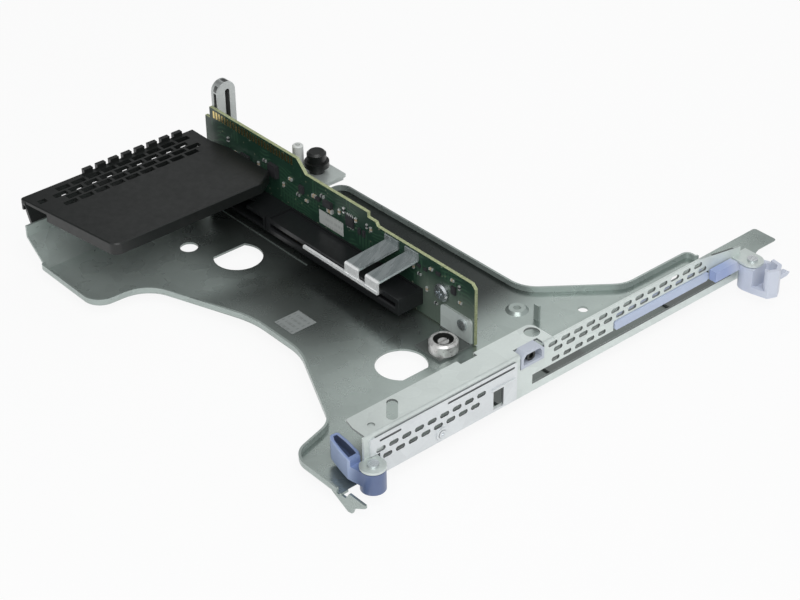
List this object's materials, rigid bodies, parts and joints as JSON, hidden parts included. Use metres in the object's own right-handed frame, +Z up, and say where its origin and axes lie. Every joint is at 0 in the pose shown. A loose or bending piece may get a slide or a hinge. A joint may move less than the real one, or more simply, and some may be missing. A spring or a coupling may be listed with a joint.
{
  "type": "server riser",
  "caption": "Sheet-metal server riser tray with vented rear panel, card slots on an upright stepped board, card-end guide and blue latches.",
  "frame": {"origin": "axis of the round guide hole in the tray floor, on the floor's top surface", "axes": "+X along the rear panel, away from the slot blank; +Y from the rear panel to the tray's far end; +Z up"},
  "size_m": [0.257, 0.2434, 0.0576],
  "materials": {
    "galvanised": "satin",
    "plated": "satin",
    "pcb": "satin",
    "gold": "polished",
    "black_plastic": "matte",
    "latch_blue": "satin",
    "pale_blue": "satin",
    "spring_steel": "polished",
    "paper": "matte",
    "chip": "matte",
    "nylon": "satin"
  },
  "bodies": {
    "root": {"tray": "galvanised", "rear_panel": "galvanised", "slot_blank": "galvanised", "blank_screw": "plated", "retainer_bar": "pale_blue", "fastener_hood": "plated", "hood_screw": "black_plastic", "left_latch_pin": "plated", "right_latch_pin": "plated", "riser_board": "pcb", "edge_contacts": "gold", "left_slot_connector": "black_plastic", "right_slot_connector": "black_plastic", "left_slot_contacts": "gold", "right_slot_contacts": "gold", "sideband_header": "black_plastic", "retention_straps": "spring_steel", "board_screws": "plated", "board_bracket": "galvanised", "bracket_rivet": "plated", "captive_screw": "spring_steel", "board_parts": "chip", "board_label": "paper", "floor_label": "paper", "card_end_guide": "black_plastic", "guide_screws": "plated", "alignment_tongue": "galvanised", "knob_bracket": "galvanised", "bracket_rivets": "plated", "black_knob": "black_plastic", "clear_standoff": "nylon"},
    "left_lever": {"left_latch": "latch_blue"},
    "right_lever": {"right_latch": "pale_blue"}
  },
  "joints": [
    {"name": "left_latch_swing", "type": "hinge", "parent": "root", "child": "left_lever", "pos_m": [-0.0473, -0.1817, 0.005], "axis": [0, 0, 1], "range_deg": [0, 95]},
    {"name": "right_latch_swing", "type": "hinge", "parent": "root", "child": "right_lever", "pos_m": [0.1606, -0.1845, 0.005], "axis": [0, 0, 1], "range_deg": [0, 75]}
  ]
}
